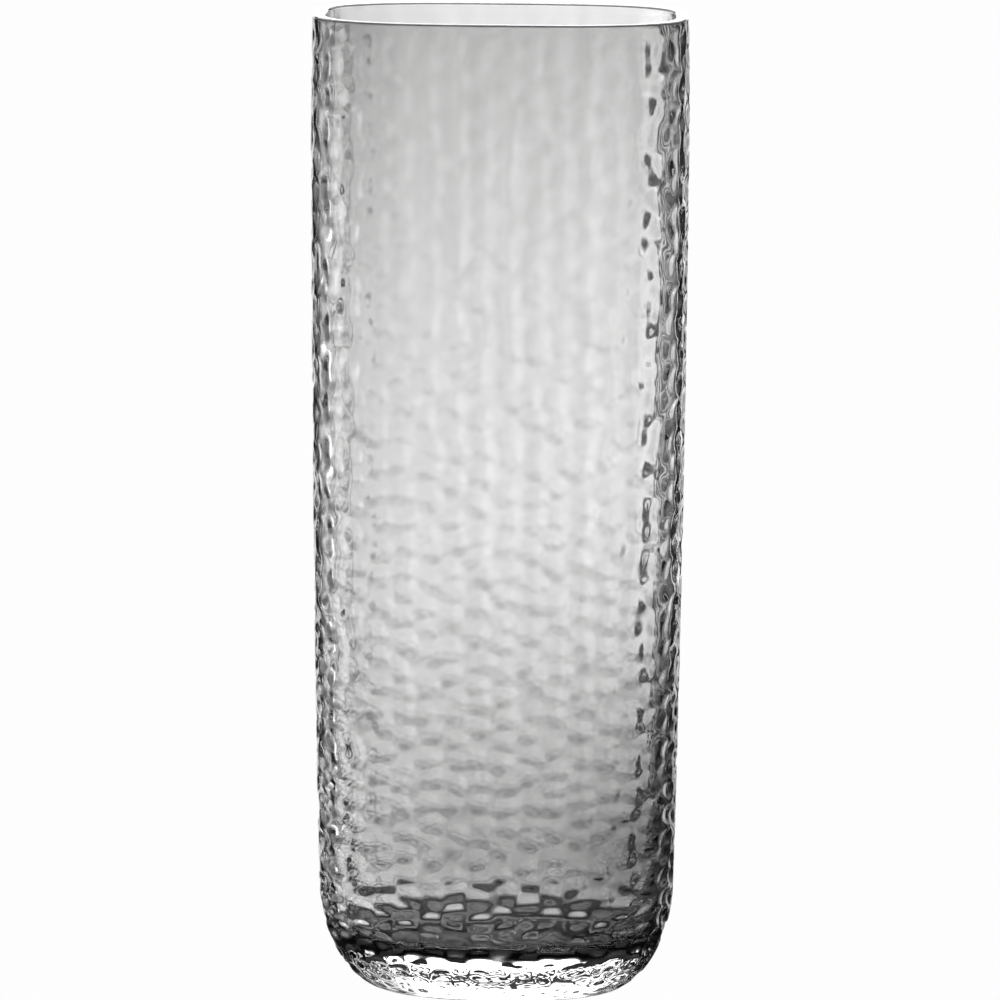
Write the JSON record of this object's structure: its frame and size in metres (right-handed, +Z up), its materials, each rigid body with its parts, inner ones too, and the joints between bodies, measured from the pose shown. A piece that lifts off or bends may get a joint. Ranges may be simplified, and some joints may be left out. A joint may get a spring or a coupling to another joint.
{
  "type": "glass vase",
  "caption": "Tall oblong flower vase of thick smoke-grey glass with hammered sides, a rounded foot and a flat ground rim.",
  "frame": {"origin": "middle of the foot, on the surface the vase stands on", "axes": "+Z up out of the mouth, +X along the wide front, +Y through the vase from front to back"},
  "size_m": [0.1426, 0.076, 0.38],
  "materials": {
    "smoke_glass": "clear smoke grey, polished inside, hammered outside"
  },
  "bodies": {
    "root": {"vase_body": "smoke_glass"}
  },
  "joints": []
}
